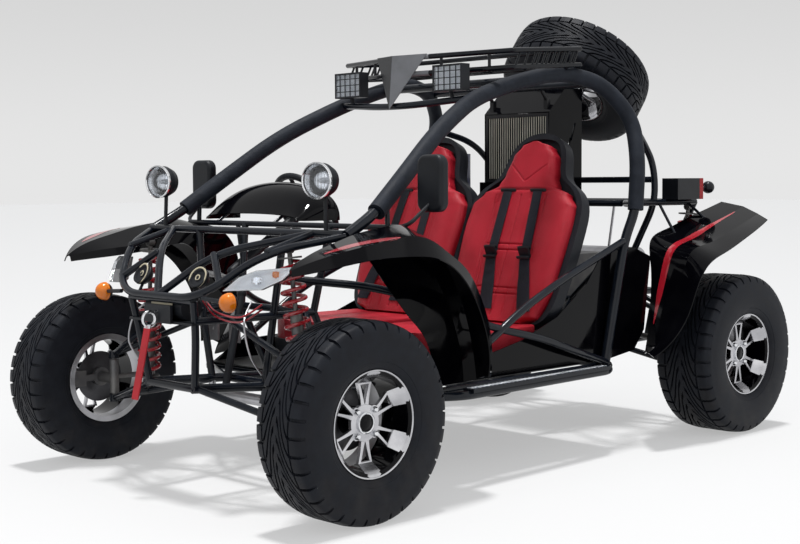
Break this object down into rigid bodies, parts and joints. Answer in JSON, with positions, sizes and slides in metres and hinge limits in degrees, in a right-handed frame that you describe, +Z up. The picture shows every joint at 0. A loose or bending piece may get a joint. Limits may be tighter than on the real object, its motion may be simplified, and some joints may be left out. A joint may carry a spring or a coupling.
{
  "type": "two-seat dune buggy",
  "caption": "Two-seat open dune buggy with a padded tube cage, roof rack, spare wheel, lamps, winch, turning wheels and linked steering.",
  "frame": {"origin": "on the ground, midway between the ends and sides of the whole vehicle", "axes": "+X forward, +Y to the vehicle's left, +Z up"},
  "size_m": [2.8176, 1.692, 1.7651],
  "materials": {
    "frame_black": "gloss black slate paint",
    "foam": "matt foam sleeve",
    "body_black": "gloss black bodywork",
    "seat_red": "soft red hide",
    "seat_black": "matt black hide",
    "webbing": "woven belt",
    "lamp_black": "black lamp shells",
    "lens": "clear lens",
    "amber": "amber lens",
    "lamp_red": "black box, red lens",
    "black_plastic": "satin black",
    "floor_sheet": "dark chequer sheet",
    "winch_black": "satin black",
    "hook_chrome": "bright hook, red strap",
    "horn_black": "black disc, bright rim",
    "arm_black": "gloss black",
    "damper_steel": "dark body, bright rod",
    "spring_red": "gloss red",
    "knuckle_iron": "cast",
    "steel": "machined steel",
    "grip": "black grip",
    "engine_metal": "engine block",
    "exhaust_steel": "heat dulled steel",
    "radiator_fins": "fins in a black frame",
    "canister_blue": "dark blue",
    "tyre": "black rubber",
    "rim_alloy": "machined, black pockets"
  },
  "bodies": {
    "chassis": {"floor_rails": "frame_black", "floor_frame": "frame_black", "front_frame": "frame_black", "nose_frame": "frame_black", "cage_hoops": "frame_black", "cage_braces": "frame_black", "rear_frame": "frame_black", "roof_rack": "frame_black", "door_bars": "frame_black", "cage_pads": "foam", "side_steps": "frame_black", "floor_pan": "floor_sheet", "side_panels": "body_black", "front_fenders": "body_black", "rear_fenders": "body_black", "cowl": "body_black", "seat_covers": "seat_red", "seat_shells": "seat_black", "harnesses": "webbing", "fog_lamps": "lamp_black", "roof_lamps": "lamp_black", "headlamps": "lamp_black", "lamp_lenses": "lens", "indicators": "amber", "tail_lamps": "lamp_red", "mirrors": "black_plastic", "winch": "winch_black", "winch_hook": "hook_chrome", "horns": "horn_black", "front_arms": "arm_black", "steering_rack": "steel", "steering_column": "black_plastic", "rear_arms": "arm_black", "drive_line": "steel", "dampers": "damper_steel", "springs": "spring_red", "engine": "engine_metal", "exhaust": "exhaust_steel", "radiator": "radiator_fins", "engine_cover": "body_black", "air_canister": "canister_blue", "pedals": "steel", "spare_tyre": "tyre", "spare_rim": "rim_alloy"},
    "knuckle_left": {"knuckle_left": "knuckle_iron"},
    "knuckle_right": {"knuckle_right": "knuckle_iron"},
    "steering_wheel": {"steering_wheel": "grip"},
    "tie_rods": {"tie_rods": "steel"},
    "wheel_front_left": {"tyre_front_left": "tyre", "rim_front_left": "rim_alloy"},
    "wheel_front_right": {"tyre_front_right": "tyre", "rim_front_right": "rim_alloy"},
    "wheel_rear_left": {"tyre_rear_left": "tyre", "rim_rear_left": "rim_alloy"},
    "wheel_rear_right": {"tyre_rear_right": "tyre", "rim_rear_right": "rim_alloy"}
  },
  "joints": [
    {"name": "steer_left", "type": "hinge", "parent": "chassis", "child": "knuckle_left", "pos_m": [1.09125, 0.605, 0.3275], "axis": [0, 0, 1], "range_deg": [-26, 26]},
    {"name": "steer_right", "type": "hinge", "parent": "chassis", "child": "knuckle_right", "pos_m": [1.09125, -0.605, 0.3275], "axis": [0, 0, 1], "range_deg": [-26, 26]},
    {"name": "steering_wheel_turn", "type": "hinge", "parent": "chassis", "child": "steering_wheel", "pos_m": [0.40525, -0.285, 0.95], "axis": [-0.848, 0, 0.5299], "range_deg": [-265, 265]},
    {"name": "rack_slide", "type": "slide", "parent": "chassis", "child": "tie_rods", "axis": [0, 1, 0], "range_m": [-0.0535, 0.0535]},
    {"name": "roll_front_left", "type": "hinge", "parent": "knuckle_left", "child": "wheel_front_left", "pos_m": [1.09125, 0.738, 0.3175], "axis": [0, 1, 0], "continuous": true},
    {"name": "roll_front_right", "type": "hinge", "parent": "knuckle_right", "child": "wheel_front_right", "pos_m": [1.09125, -0.738, 0.3175], "axis": [0, 1, 0], "continuous": true},
    {"name": "roll_rear_left", "type": "hinge", "parent": "chassis", "child": "wheel_rear_left", "pos_m": [-1.07875, 0.6825, 0.33], "axis": [0, 1, 0], "continuous": true},
    {"name": "roll_rear_right", "type": "hinge", "parent": "chassis", "child": "wheel_rear_right", "pos_m": [-1.07875, -0.6825, 0.33], "axis": [0, 1, 0], "continuous": true}
  ],
  "couplings": [
    {"joint": "steer_right", "follows": "steer_left", "ratio": 1},
    {"joint": "steering_wheel_turn", "follows": "steer_left", "ratio": 10},
    {"joint": "rack_slide", "follows": "steer_left", "m_per_rad": -0.1165}
  ]
}
